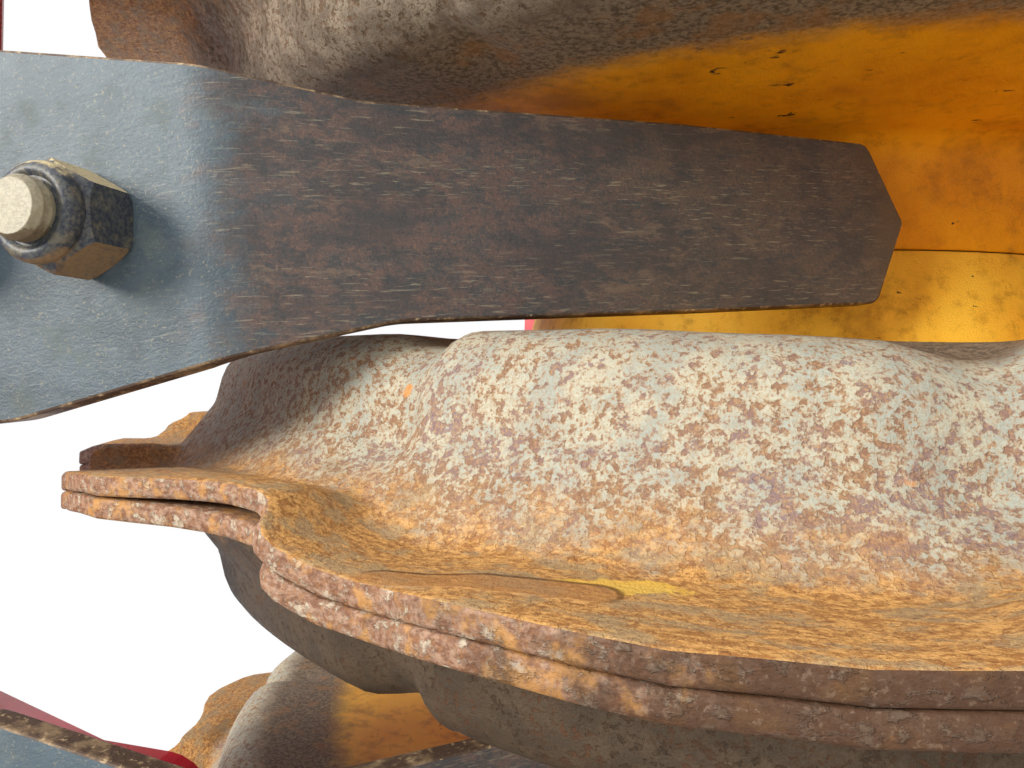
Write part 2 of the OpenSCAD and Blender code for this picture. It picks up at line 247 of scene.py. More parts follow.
def flange_mark(f, angle, radius, x):
    """The pressed oval on the middle ring's flange and the paint beside it, as two masks."""
    tilt = math.radians(12)
    mark_angle, mark_radius, mark_x = math.radians(8.55), 260 * MM, -60 * MM
    along = f.times(f.plus(angle, -mark_angle), mark_radius)
    out = f.plus(radius, -mark_radius)
    far = f.plus(f.times(along, math.cos(tilt)), f.times(out, math.sin(tilt)))
    side = f.plus(f.times(along, -math.sin(tilt)), f.times(out, math.cos(tilt)))
    over = f.maths("MAXIMUM", f.plus(f.maths("ABSOLUTE", far), -15 * MM), 0.0)
    gap = f.maths("SQRT", f.plus(f.times(over, over), f.times(side, side)))
    here = f.step(f.maths("ABSOLUTE", f.plus(x, -mark_x)), 22 * MM, 20 * MM)
    oval = f.times(f.step(gap, 4.4 * MM, 3.2 * MM), here)
    past = f.plus(far, 20 * MM)
    high = f.plus(side, 4 * MM)
    splash = f.maths("SQRT", f.plus(f.times(past, past, 0.5), f.times(high, high, 3.0)))
    splash = f.plus(splash, f.times(f.maths("SUBTRACT", f.grain(5 * MM, 4, 0.65), 0.5), 14 * MM))
    return oval, f.times(f.step(splash, 6.5 * MM, 4.5 * MM), f.maths("SUBTRACT", here, oval, clamp=True))


def ring_steel(name, flank, flank_alt, share, spot_a, spot_b, ring, worn, marked=False,
               amber=((0.95, 0.44, 0.008), (0.76, 0.30, 0.005))):
    """Share is the noise above which a spot starts, ring its pale rim, worn the strip by the paint."""
    f = Finish(name, specular=0.25)
    angle, radius, x = f.around_axle()
    swept = f.join(f.times(angle, RIM_ARC * 0.5), radius, x)
    ragged = f.grain(9 * MM, 5, 0.65)
    edge = f.maths("SUBTRACT", ragged, 0.5)
    patchy = f.grain(45 * MM, 3)

    base = f.mix(f.step(f.grain(7 * MM, 5, 0.65), 0.38, 0.62), flank, flank_alt)
    fine = f.step(f.grain(0.5 * MM, 3, 0.7), 0.42, 0.68)
    base = f.mix(f.times(fine, 0.35), base, (0.46, 0.34, 0.20) if marked else ring)
    denser = f.times(f.step(f.plus(radius, f.times(edge, 12 * MM)), 224 * MM, 242 * MM), 0.05)
    shift = f.plus(f.times(f.maths("SUBTRACT", patchy, 0.5), 0.12), denser)
    large = f.plus(f.grain(1.65 * MM, 3.5, 0.62), shift)
    small = f.plus(f.grain(0.8 * MM, 3, 0.62), denser)
    blots = f.plus(f.grain(3.6 * MM, 4, 0.6), shift)
    halo = f.maths("MAXIMUM", f.step(large, share - 0.06, share + 0.04),
                   f.step(small, share - 0.05, share + 0.05))
    base = f.mix(f.times(halo, 0.5), base, ring)
    spots = f.maths("MAXIMUM", f.step(large, share, share + 0.06),
                    f.times(f.step(small, share + 0.02, share + 0.08), 0.8))
    spots = f.maths("MAXIMUM", spots, f.step(blots, share + 0.07, share + 0.10))
    tint = f.mix(f.step(f.grain(11 * MM, 3), 0.42, 0.6), spot_a, spot_b)
    tint = f.mix(f.times(f.step(f.grain(0.6 * MM, 3), 0.46, 0.64), 0.8), tint, ring)
    flank_paint = f.mix(f.times(spots, 0.70), base, tint)
    orange_spot = f.step(f.grain(14 * MM, 4, 0.6, vector=f.stretch(f.place, (1, 1, 1), shift=(3, 1, 2))),
                         0.67, 0.73)
    flank_paint = f.mix(f.times(orange_spot, 0.8), flank_paint, (0.62, 0.25, 0.05))

    streak = f.plus(f.times(f.grain(1.2 * MM, 5, 0.68, vector=swept), 0.6),
                    f.times(f.grain(1.0 * MM, 5, 0.7), 0.4))
    streak_wide = f.grain(5 * MM, 5, 0.65, vector=swept)
    rust = f.mix(f.step(streak, 0.43, 0.57), (0.31, 0.135, 0.038), (0.60, 0.325, 0.105))
    rust = f.mix(f.times(f.step(streak_wide, 0.48, 0.60), 0.65), rust, (0.30, 0.235, 0.14))
    rust = f.mix(f.times(f.step(f.grain(0.9 * MM, 4, 0.7), 0.52, 0.64), 0.6), rust, (0.19, 0.075, 0.030))
    rust = f.mix(f.times(f.step(f.grain(0.6 * MM, 3, 0.7), 0.56, 0.66), 0.5), rust, (0.70, 0.42, 0.15))

    paint = f.mix(f.step(f.grain(30 * MM, 3), 0.35, 0.7), *amber)
    paint = f.mix(f.times(f.step(f.grain(5 * MM, 5, 0.7), 0.5, 0.68), 0.35), paint, (0.56, 0.22, 0.01))
    drawn = f.join(f.times(angle, RIM_ARC * 0.30), radius, x)
    scratch = f.step(f.grain(2.2 * MM, 3, 0.6, vector=f.join(f.times(angle, RIM_ARC * 0.10), radius, x)),
                     0.70, 0.74)
    chip = f.step(f.plus(f.grain(6 * MM, 5, 0.7, vector=drawn),
                         f.times(f.maths("SUBTRACT", patchy, 0.5), 0.5)), 0.665, 0.695)
    bare = f.maths("MAXIMUM", f.times(scratch, 0.8), chip)
    paint = f.mix(bare, paint, (0.055, 0.028, 0.018))
    grime = f.times(f.step(f.grain(20 * MM, 6, 0.7), 0.46, 0.68), 0.5)
    paint = f.mix(grime, paint, (0.36, 0.14, 0.012))

    worn_line = f.step(f.plus(radius, f.times(edge, 16 * MM)), 181 * MM, 195 * MM)
    flange_line = f.step(f.plus(radius, f.times(edge, 20 * MM)), 236 * MM, 247 * MM)
    wall_zone = f.step(f.plus(radius, f.times(edge, 10 * MM)), 212 * MM, 221 * MM)
    worn_base = f.mix(f.step(f.grain(1.4 * MM, 5, 0.7), 0.4, 0.62), worn, (0.10, 0.075, 0.055))
    worn_base = f.mix(f.times(f.step(f.grain(0.9 * MM, 3), 0.54, 0.68), 0.6), worn_base,
                      (0.42, 0.33, 0.22))
    worn_base = f.mix(f.times(f.step(f.grain(9 * MM, 4), 0.52, 0.66), 0.5), worn_base, (0.34, 0.16, 0.05))
    colour = f.mix(worn_line, paint, worn_base)
    colour = f.mix(wall_zone, colour, flank_paint)
    colour = f.mix(flange_line, colour, rust)
    rough = f.plus(0.44, f.times(worn_line, 0.14), f.times(spots, 0.12), f.times(bare, 0.1))
    pits = f.step(large, share, share + 0.06)
    height = f.plus(f.times(pits, -0.30, wall_zone), f.times(fine, -0.20),
                    f.times(streak, f.times(flange_line, 0.38)), f.times(ragged, 0.25))
    if marked:
        oval, splash = flange_mark(f, angle, radius, x)
        colour = f.mix(f.times(oval, 0.55), colour, (0.36, 0.16, 0.05))
        colour = f.mix(f.times(splash, 0.70), colour, (0.80, 0.50, 0.07))
        height = f.plus(height, f.times(oval, 3.0))
    return f.finish(colour, rough, height, 0.4 * MM)


# The right halves' amber paint is painted lighter and paler than the default, as painted light for the sunlit
# strip below the seam
pressed_right = ring_steel("ring_steel_upper", (0.455, 0.435, 0.340), (0.33, 0.355, 0.315), 0.555,
                           (0.19, 0.070, 0.034), (0.175, 0.10, 0.13), (0.39, 0.215, 0.09), (0.22, 0.17, 0.12),
                           marked=True, amber=((1.0, 0.62, 0.060), (0.92, 0.48, 0.035)))
pressed_left = ring_steel("ring_steel_lower", (0.092, 0.064, 0.040), (0.060, 0.044, 0.030), 0.58,
                          (0.024, 0.015, 0.010), (0.11, 0.042, 0.018), (0.070, 0.042, 0.022),
                          (0.24, 0.20, 0.15))
# The left halves of rings five to eight: the same steel painted lighter, as painted light that makes up for
# the shadow of the blade and the ring beside them
brightened_left = ring_steel("ring_steel_painted_lighter", (0.33, 0.275, 0.21), (0.17, 0.14, 0.11), 0.56,
                        (0.055, 0.038, 0.028), (0.15, 0.07, 0.035), (0.20, 0.13, 0.07), (0.28, 0.23, 0.17))
print("ring materials:", pressed_right.name, pressed_left.name, brightened_left.name)

# %% [markdown]
# The cut edge of each sheet has its own look: mill scale went first there, so it is mottled
# purple, brown and pale grey. It is a second material, given to the faces of the cut edge and
# to those near it where the two sheets of a ring lie against each other.


# %% The sheet's cut edge
def rim_edge_steel():
    f = Finish("ring_steel_edge", roughness=0.55, specular=0.2)
    angle, radius, x = f.around_axle()
    swept = f.join(f.times(angle, RIM_ARC * 0.7), radius, x)
    mottle = f.grain(1.2 * MM, 5, 0.7, vector=swept)
    pale = f.step(f.grain(1.9 * MM, 5, 0.68, vector=swept), 0.52, 0.62)
    colour = f.mix(f.step(mottle, 0.38, 0.62), (0.16, 0.072, 0.040), (0.38, 0.24, 0.165))
    colour = f.mix(f.times(pale, 0.70), colour, (0.54, 0.47, 0.36))
    colour = f.mix(f.times(f.step(f.grain(0.8 * MM, 4, 0.7), 0.50, 0.62), 0.8), colour, (0.27, 0.125, 0.055))
    colour = f.mix(f.times(f.step(f.grain(6 * MM, 5, 0.65), 0.50, 0.62), 0.7), colour, (0.52, 0.26, 0.075))
    # Painted shade: the edge is darkened from some 26 degrees below the axle's level to 5 above it, so the
    # slit between the two sheets shows as a dark line there
    seam_shade = f.plus(angle, f.times(f.maths("SUBTRACT", f.grain(10 * MM, 6, 0.7), 0.5), 0.6))
    seam_shade = f.times(f.step(seam_shade, math.radians(10), math.radians(0)),
                   f.step(seam_shade, math.radians(-30), math.radians(-22)))
    colour = f.mix(f.times(seam_shade, 0.9), colour, (0.062, 0.030, 0.016))
    grit = f.times(f.step(f.grain(0.9 * MM, 4, 0.7), 0.56, 0.66), 0.35)
    colour = f.mix(grit, colour, (0.26, 0.185, 0.13))
    return f.finish(colour, None, f.plus(f.times(mottle, 0.9), f.times(pale, 0.4)), 0.4 * MM)


edge_steel = rim_edge_steel()
print("edge material:", edge_steel.name)

# %% [markdown]
# Half a ring is one pressed sheet, so it is made as a press tool's section: six points, the
# corners rounded by a vertex bevel, turned once round the axle by spin. The lobes can't come
# from the spin, so the rim's vertices are then moved: out and in by the outline of a lobe, and
# sideways by the small step in which one lobe runs into the next. Solidify gives the sheet.


# %% The pressed half of a ring
# Each corner's distance from the ring's middle, its radius in the ring and its rounding, in mm
PROFILE = ((4.2, 275, 0), (4.2, 244, 7), (20, 232.5, 10), (39.4, 228, 14), (39.4, 116.5, 9), (70, 110, 0))
STEPS_PER_LOBE = 20
CONTACT_FROM = 250 * MM


def between(value, low, high):
    """0 at low, 1 at high and smooth between them."""
    t = min(1.0, max(0.0, (value - low) / (high - low)))
    return t * t * (3 - 2 * t)


def curve(u, points):
    """Smooth line through (place, value) pairs, for a place u from 0 to 1."""
    for (u0, v0), (u1, v1) in zip(points, points[1:]):
        if u <= u1:
            return v0 + (v1 - v0) * between(u, u0, u1)
    return points[-1][1]


# How far the rim and the crest are moved at places along a lobe, from 0 to 1, in millimetres.
# Each has one row for each of the two lobe forms that alternate.
RIM_OUT = (((0, -9.5), (0.12, -9), (0.165, -14.2), (0.29, -15), (0.37, -13.5), (0.45, -9.5), (0.53, -4.0),
            (0.70, -2.8), (0.91, -3.2), (1, -9.5)),
           ((0, -9.5), (0.12, -9.5), (0.165, -13), (0.22, -10), (0.30, -5.5), (0.46, -4.5), (0.57, -3),
            (0.80, -4.5), (0.86, -7), (0.92, -8.7), (1, -9.5)))
RIM_SIDE = (((0, -1.3), (0.06, -0.2), (0.19, 5.8), (0.45, 5.8), (0.60, 5.3), (0.76, 3.6), (0.91, 1.0),
             (1, -1.3)),
            ((0, -1.3), (0.06, -0.2), (0.17, 5.0), (0.22, 4.2), (0.30, 1.6), (0.40, 0.2), (0.57, -0.3),
             (0.80, 0), (0.92, -1.3), (1, -1.3)))
CREST_SIDE = (((0, 0.7), (0.30, 0.5), (0.70, 0.3), (1, 0.6)),
              ((0, 0.6), (0.30, -0.9), (0.55, 0), (0.80, 0.9), (1, 0.7)))
VALLEY = 3.0 * MM
STEP_MORE = 1.5 * MM  # the right sheet steps this much further aside at the first form
CLOSER = 0.14 * MM  # each sheet lies this much closer to the other at the second form
SKEW, SKEW_FROM = 0.112, 0.15  # how far the lobes' places shift in turn, in parts of a lobe


def rounded_profile(side):
    """The section's line in the XZ plane: X is the radius and Z the distance from the middle."""
    bm = bmesh.new()
    points = [Vector((r * MM, 0, side * a * MM)) for a, r, _ in PROFILE]
    corners = [bm.verts.new(p) for p in points]
    for a, b in zip(corners, corners[1:]):
        bm.edges.new((a, b))
    for i in range(1, len(PROFILE) - 1):
        half = (points[i - 1] - points[i]).angle(points[i + 1] - points[i]) / 2
        bmesh.ops.bevel(bm, geom=[corners[i]], offset=PROFILE[i][2] * MM / math.tan(half),
                        offset_type="OFFSET", segments=5, profile=0.5, affect="VERTICES",
                        material=-1)
    # Long runs get more points: those over 60 mm anywhere, and those over 22 mm near the rim
    for length, cuts, beyond in ((60 * MM, 3, 0), (22 * MM, 4, 190 * MM)):
        long_edges = [e for e in bm.edges if e.calc_length() > length
                      and max(v.co.x for v in e.verts) > beyond]
        if long_edges:
            bmesh.ops.subdivide_edges(bm, edges=long_edges, cuts=cuts)
    return bm


def shape_lobes(bm, side):
    """Move the vertices of the turned sheet to the lobes' outline, steps and dips."""
    for v in bm.verts:
        radius = math.hypot(v.co.x, v.co.y)
        turns = (math.atan2(v.co.y, v.co.x) - LOBE_START) / LOBE_ANGLE
        turns -= SKEW * math.sin(math.tau * (turns - SKEW_FROM))
        angle = LOBE_START + turns * LOBE_ANGLE
        lobe, u = divmod(turns + 1e-6, 1.0)
        form = int(lobe) % 2
        out = curve(u, RIM_OUT[form]) * MM * between(radius, ROOT_R - 2 * MM, RING_R)
        shift = curve(u, RIM_SIDE[form]) * MM * between(radius, 230 * MM, 252 * MM)
        rim = between(radius, 240 * MM, 262 * MM)
        if side < 0 and form == 0:
            shift += STEP_MORE * between(u, 0.12, 0.20) * (1 - between(u, 0.24, 0.6)) * rim
        elif form == 1:
            shift += side * CLOSER * rim
        crest = between(radius, 196 * MM, 214 * MM) * (1 - between(radius, 233 * MM, 246 * MM))
        valley = between(u, 0.09, 0.18) * (1 - between(u, 0.21, 0.36)) * crest
        wave = curve(u, CREST_SIDE[form]) * MM * crest
        radius += out - VALLEY * valley
        v.co = (radius * math.cos(angle), radius * math.sin(angle),
                v.co.z - shift + side * (wave - VALLEY * valley))


def half_ring(side):
    """One sheet without its thickness; side is 1 for the left half and -1 for the right."""
    bm = rounded_profile(side)
    bmesh.ops.rotate(bm, verts=bm.verts, cent=(0, 0, 0), matrix=Matrix.Rotation(LOBE_START, 3, "Z"))
    bmesh.ops.spin(bm, geom=bm.verts[:] + bm.edges[:], cent=(0, 0, 0), axis=(0, 0, 1),
                   angle=math.tau, steps=LOBES * STEPS_PER_LOBE, use_merge=True)
    shape_lobes(bm, side)
    bmesh.ops.recalc_face_normals(bm, faces=bm.faces)
    return bm


def solid_half_ring(side):
    """The sheet with its thickness, its second material and a fine bevel on its sharp edges."""
    bm = half_ring(side)
    flange = max(bm.faces, key=lambda face: face.calc_center_median().length)
    if flange.normal.z * side < 0:
        bmesh.ops.reverse_faces(bm, faces=bm.faces)
    bmesh.ops.solidify(bm, geom=bm.faces[:], thickness=SHEET)
    edge_faces = [face for face in bm.faces if all(len(e.link_faces) == 2 for e in face.edges)
                  and min(math.hypot(v.co.x, v.co.y) for v in face.verts) > ROOT_R
                  and abs(face.normal.z) < 0.6]
    contact_faces = [face for face in bm.faces if face.normal.z * side < -0.5
                     and min(math.hypot(v.co.x, v.co.y) for v in face.verts) > CONTACT_FROM]
    for face in edge_faces + contact_faces:
        face.material_index = 1
    sharp = [e for e in bm.edges if len(e.link_faces) == 2 and e.calc_face_angle() > math.radians(50)]
    bmesh.ops.bevel(bm, geom=sharp, offset=0.7 * MM, offset_type="OFFSET", segments=2, profile=0.5,
                    affect="EDGES", material=-1, clamp_overlap=True)
    for face in bm.faces:
        face.smooth = True
    print("half ring", side, "triangles", sum(len(face.verts) - 2 for face in bm.faces),
          "cut-edge faces", len(edge_faces))
    return bm


def piece(name, bm, place, body, finishes, replaced=()):
    """The bmesh as a finished piece: placed in its mesh, riding on its body."""
    mesh = bpy.data.meshes.new(name)
    bm.to_mesh(mesh)
    mesh.transform(place)
    for finish in finishes:
        mesh.materials.append(finish)
    made = bpy.data.objects.new(name, mesh)
    bpy.context.scene.collection.objects.link(made)
    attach(made, body)
    if replaced:
        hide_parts(*replaced)
    return made


for side, half in ((1, "left"), (-1, "right")):
    shell = solid_half_ring(side)
    for k in range(1, RING_COUNT + 1):
        # From the fifth ring on, the left halves take the copy that is painted lighter, as painted light
        finish = pressed_right if side < 0 else pressed_left if k <= RING_COUNT / 2 else brightened_left
        piece(f"pressed_ring_{k}_{half}", shell, axle_place(ring_x(k)), "roller",
              (finish, edge_steel), (f"ring_{k}_{half}",))
    shell.free()

# %% [markdown]
# A scraper is a bent bar of spring steel. By its bolts it is blue-grey and dusty, and below the
# bend the soil has turned it brown. Its scratches run along the blade, round the bend too, so
# the pattern follows an attribute that keeps where each point lay before the bar was bent.


# %% Scraper steel
def scraper_finish():
    f = Finish("scraper_face_steel", specular=0.45)
    flat = f.add("Attribute", attribute_name="unbent").outputs["Vector"]
    along, across, layer = f.split(flat)
    sway = f.times(f.maths("SUBTRACT", f.grain(12 * MM, 2, vector=flat), 0.5), 4 * MM)
    drawn = f.join(f.times(along, 0.3), f.plus(across, sway), layer)
    cross = f.join(f.times(along, 0.6), f.plus(across, sway), layer)
    ragged = f.maths("SUBTRACT", f.grain(9 * MM, 6, 0.72, vector=cross), 0.5)
    local = f.maths("SUBTRACT", along, f.maths("FLOOR", along))
    place = f.maths("SUBTRACT", local, 0.5)
    dusty = f.step(f.plus(place, f.times(ragged, 75 * MM)), -14 * MM, 10 * MM)
    low = f.step(f.plus(place, f.times(ragged, 60 * MM)), -60 * MM, -110 * MM)
    tip = f.step(f.plus(place, f.times(ragged, 22 * MM)), -156 * MM, -172 * MM)
    lines = 0.0
    for turn in (-14, 4, 19):
        slanted = f.stretch(flat, (0.09, 1, 1), turn=(0, 0, math.radians(turn)))
        slanted = f.stretch(slanted, (1, 1, 1), shift=(0, 0.1 * turn, 0))
        patch = f.step(f.grain(13 * MM, 3, 0.6, vector=slanted), 0.44, 0.60)
        line = f.step(f.grain(0.6 * MM, 2, 0.6, vector=slanted), 0.60, 0.70)
        lines = f.maths("MAXIMUM", lines, f.times(line, patch))

    brown = f.mix(f.step(f.grain(3.5 * MM, 6, 0.72, vector=cross), 0.42, 0.60), (0.120, 0.078, 0.068),
                  (0.070, 0.066, 0.068))
    brown = f.mix(f.times(low, 0.6), brown, (0.100, 0.082, 0.060))
    brown = f.mix(f.times(f.step(f.grain(4 * MM, 6, 0.74, vector=drawn), 0.53, 0.62), 0.75), brown,
                  (0.040, 0.054, 0.062))
    brown = f.mix(f.times(f.step(f.grain(0.8 * MM, 5, 0.7, vector=cross), 0.52, 0.62), 0.65), brown,
                  (0.036, 0.042, 0.046))
    brown = f.mix(f.times(f.step(f.grain(0.6 * MM, 4, 0.65), 0.54, 0.66), 0.6), brown, (0.22, 0.125, 0.080))
    clouds = f.step(f.grain(14 * MM, 6, 0.7, vector=cross), 0.44, 0.58)
    brown = f.mix(f.times(clouds, 0.6), brown, (0.040, 0.040, 0.044))
    brown = f.mix(f.times(f.step(f.grain(9 * MM, 6, 0.75, vector=drawn), 0.56, 0.64), 0.6), brown,
                  (0.19, 0.135, 0.095))
    brown = f.mix(f.times(lines, 0.55), brown, (0.33, 0.29, 0.20))
    brown = f.mix(f.times(tip, 0.75), brown, (0.12, 0.080, 0.042))

    slate = f.mix(f.step(f.grain(18 * MM, 5, 0.6, vector=flat), 0.35, 0.65), (0.034, 0.054, 0.070),
                  (0.066, 0.096, 0.120))
    # Painted reflection: the face is painted a lighter blue towards one long side, for the sky that it
    # reflects
    slate = f.mix(f.times(f.step(across, -35 * MM, 38 * MM), 0.45), slate, (0.098, 0.138, 0.168))
    slate = f.mix(f.times(f.step(f.grain(0.8 * MM, 5, 0.68, vector=cross), 0.54, 0.66), 0.5), slate,
                  (0.040, 0.056, 0.070))
    slate = f.mix(f.times(lines, 0.25), slate, (0.26, 0.28, 0.25))
    dust = f.step(f.plus(f.grain(14 * MM, 5, 0.65, vector=flat), f.times(ragged, 0.3)), 0.52, 0.72)
    slate = f.mix(f.times(dust, 0.24), slate, (0.22, 0.225, 0.16))
    specks = f.step(f.grain(0.7 * MM, 3, 0.6), 0.60, 0.68)
    slate = f.mix(f.times(specks, 0.4), slate, (0.30, 0.27, 0.17))

    colour = f.mix(dusty, brown, slate)
    rough = f.plus(0.46, f.times(dust, 0.2), f.times(dusty, 0.06))
    height = f.plus(f.times(f.grain(0.9 * MM, 4, 0.65, vector=cross), 0.8),
                    f.times(f.grain(4 * MM, 5, 0.7, vector=cross), 0.5),
                    f.times(f.grain(0.5 * MM, 3, 0.65), 0.4))
    return f.finish(colour, rough, height, 0.22 * MM)


def scraper_edge_steel():
    f = Finish("scraper_edge_steel", roughness=0.6, specular=0.35)
    colour = f.mix(f.step(f.grain(6 * MM, 5, 0.65), 0.45, 0.62), (0.075, 0.045, 0.030), (0.24, 0.165, 0.095))
    colour = f.mix(f.step(f.grain(1.5 * MM, 3, 0.6), 0.58, 0.70), colour, (0.42, 0.31, 0.18))
    return f.finish(colour, None, f.grain(1.5 * MM, 3), 0.2 * MM)


blade_steel, blade_edge_steel = scraper_finish(), scraper_edge_steel()
print("scraper materials:", blade_steel.name, blade_edge_steel.name)

# %% [markdown]
# The blade is cut from flat bar, so it starts as one face with its corners rounded, is pushed
# out to its thickness, and gets a fine bevel on its cut edges, which are rusty where the face
# is not. Then it is scored across, and every point beyond the fold is moved onto its arc. The
# outline has its zero at the fold: the tip is at -174 mm and the first bolt at +28 mm. Each
# corner is its place along, its place across and its radius, in millimetres.


# %% Scraper blades
BLADE_CORNERS = ((-174, 0, 2), (-163, 21.0, 4), (-106, 22.9, 60), (-30, 23.0, 30), (-5, 26.8, 30),
                 (50, 39.6, 30), (88, 41.0, 12), (88, -39.0, 12), (50, -37.8, 30), (-34, -22.6, 30),
                 (-106, -22.3, 60), (-163, -21.6, 4))
FOLD_STEPS = 12


def rounded_plate(corners, thickness, edge):
    """A flat plate in local X and Z, its corners rounded, from Y = 0 to its thickness."""
    bm = bmesh.new()
    points = [Vector((x * MM, 0, -w * MM)) for x, w, _ in corners]
    made = [bm.verts.new(p) for p in points]
    bm.faces.new(made)
    for i, (_, _, radius) in enumerate(corners):
        arms = (points[i - 1] - points[i], points[(i + 1) % len(points)] - points[i])
        reach = min(radius * MM / math.tan(arms[0].angle(arms[1]) / 2), 0.45 * arms[0].length,
                    0.45 * arms[1].length)
        bmesh.ops.bevel(bm, geom=[made[i]], offset=reach, offset_type="OFFSET", segments=6,
                        profile=0.5, affect="VERTICES", material=-1)
    pushed = bmesh.ops.extrude_face_region(bm, geom=bm.faces[:])
    bmesh.ops.translate(bm, verts=[v for v in pushed["geom"] if isinstance(v, bmesh.types.BMVert)],
                        vec=(0, thickness, 0))
    bmesh.ops.recalc_face_normals(bm, faces=bm.faces)
    rims = [e for e in bm.edges if e.calc_face_angle() > math.radians(60)]
    bmesh.ops.bevel(bm, geom=rims, offset=edge, offset_type="OFFSET", segments=2, profile=0.5,
                    affect="EDGES", material=-1)
    bm.normal_update()
    for face in bm.faces:
        face.material_index = 0 if abs(face.normal.y) > 0.95 else 1
    return bm


def fold(bm):
    """Bend the plate towards its back round the line X = 0, and keep the flat places."""
    tangent = BEND_R * math.tan(FOLD / 2)
    for i in range(FOLD_STEPS + 1):
        bmesh.ops.bisect_plane(bm, geom=bm.verts[:] + bm.edges[:] + bm.faces[:], dist=1e-6,
                               plane_co=(tangent * (2 * i / FOLD_STEPS - 1), 0, 0), plane_no=(1, 0, 0))
    unbent = bm.verts.layers.float_vector.new("unbent")
    for v in bm.verts:
        v[unbent] = (v.co.x + 0.5, -v.co.z, v.co.y)
        if v.co.x < tangent:
            turned_by = min(FOLD, (tangent - v.co.x) / (2 * tangent) * FOLD)
            inward = Vector((-math.sin(turned_by), -math.cos(turned_by), 0)) * (BEND_R - v.co.y)
            beyond = max(0.0, -tangent - v.co.x)
            forward = Vector((-math.cos(FOLD), math.sin(FOLD), 0)) * beyond
            v.co = Vector((tangent, BEND_R, v.co.z)) + inward + forward


blade = rounded_plate(BLADE_CORNERS, BLADE_T, 0.6 * MM)
fold(blade)
bmesh.ops.translate(blade, verts=blade.verts, vec=(-BEND_TO_BOLT, 0, 0))
bmesh.ops.rotate(blade, verts=blade.verts, cent=(0, 0, 0), matrix=Matrix.Rotation(-BLADE_YAW, 3, "Y"))
for k in range(1, RING_COUNT):
    made = piece(f"scraper_blade_{k}", blade, bolt_place(k), "frame",
                 (blade_steel, blade_edge_steel), (f"scraper_{k}",))
    # A whole number more for each blade, so that no two have the same pattern
    for value in made.data.attributes["unbent"].data:
        value.vector = (value.vector[0] + k, value.vector[1], value.vector[2])
print("blade faces:", len(blade.faces))
blade.free()

# %% [markdown]
# A locking nut is a six-sided bar that was turned on a lathe: the hexagon gives its flats, and
# the turned form cuts the corners and leaves the round collar. So the two forms are made by
# themselves, and a boolean keeps what they share, which gives the curved edges of a real nut.


# %% Nuts, bolts and washers
def turned(profile, steps=40):
    """A closed form turned about Z, from (radius, height) in millimetres, pole to pole."""
    bm = bmesh.new()
    points = [bm.verts.new((r * MM, 0, h * MM)) for r, h in profile]
    for a, b in zip(points, points[1:]):
        bm.edges.new((a, b))
    bmesh.ops.spin(bm, geom=bm.verts[:] + bm.edges[:], cent=(0, 0, 0), axis=(0, 0, 1),
                   angle=math.tau, steps=steps, use_merge=True)
    bmesh.ops.remove_doubles(bm, verts=bm.verts, dist=0.001 * MM)
    bmesh.ops.recalc_face_normals(bm, faces=bm.faces)
    return bm


def hexagon(across_flats, height):
    bm = bmesh.new()
    bmesh.ops.create_cone(bm, cap_ends=True, segments=6, radius1=across_flats / math.sqrt(3),
                          radius2=across_flats / math.sqrt(3), depth=2 * height)
    return bm


def shared_form(first, second):
    """What two closed forms have in common, as a new bmesh."""
    holders = []
    for bm in (first, second):
        mesh = bpy.data.meshes.new("form")
        bm.to_mesh(mesh)
        bm.free()
        holders.append(bpy.data.objects.new("form", mesh))
        bpy.context.scene.collection.objects.link(holders[-1])
    cut = holders[0].modifiers.new("shared", "BOOLEAN")
    cut.operation, cut.solver, cut.object = "INTERSECT", "EXACT", holders[1]
    seen = holders[0].evaluated_get(bpy.context.evaluated_depsgraph_get())
    made = bmesh.new()
    made.from_mesh(seen.to_mesh())
    for holder in holders:
        bpy.data.meshes.remove(holder.data)
    return made


ACROSS_FLATS = 19 * MM
NUT = ((0, 0), (9.3, 0), (10.6, 0.8), (11.2, 1.8), (11.2, 9.6), (10.2, 10.6), (9.0, 11.2), (8.9, 11.5),
       (9.4, 12.3), (9.5, 13.2), (9.2, 14.3), (8.4, 15.2), (7.5, 15.4), (6.8, 15.1), (6.4, 14.6), (0, 14.6))
HEAD = ((0, 0), (9.4, 0), (11.1, 0.2), (11.1, 6.1), (9.3, 7.3), (0, 7.3))
WASHER_T = 2.5
WASHER = ((0, 0), (12, 0), (12, 2.2), (11.6, WASHER_T), (0, WASHER_T))
THREAD = [(6.0 - 0.7 * (i % 2), 0.875 * i) for i in range(21)]
BOLT_END = [(0, -0.5), (6.0, -0.5)] + THREAD[1:] + [(5.9, 17.9), (5.2, 18.9), (5.0, 19.2), (0, 19.2)]
nut = shared_form(turned(NUT), hexagon(ACROSS_FLATS, 18 * MM))
head = shared_form(turned(HEAD), hexagon(ACROSS_FLATS, 14 * MM))
washer = turned(WASHER)
bolt_end = turned(BOLT_END, 32)
for form in (nut, head, washer, bolt_end):
    for face in form.faces:
        face.smooth = len(face.verts) == 4 and face.calc_area() < 3e-6
print("nut faces:", len(nut.faces), "bolt end faces:", len(bolt_end.faces))

# %% [markdown]
# The photograph shows one nut close by: dark blue under a coat of tan dust on the faces that look up, and the
# same tan painted darker, as painted shade, on the faces that look down. The object's own normal tells the
# material which faces those are.


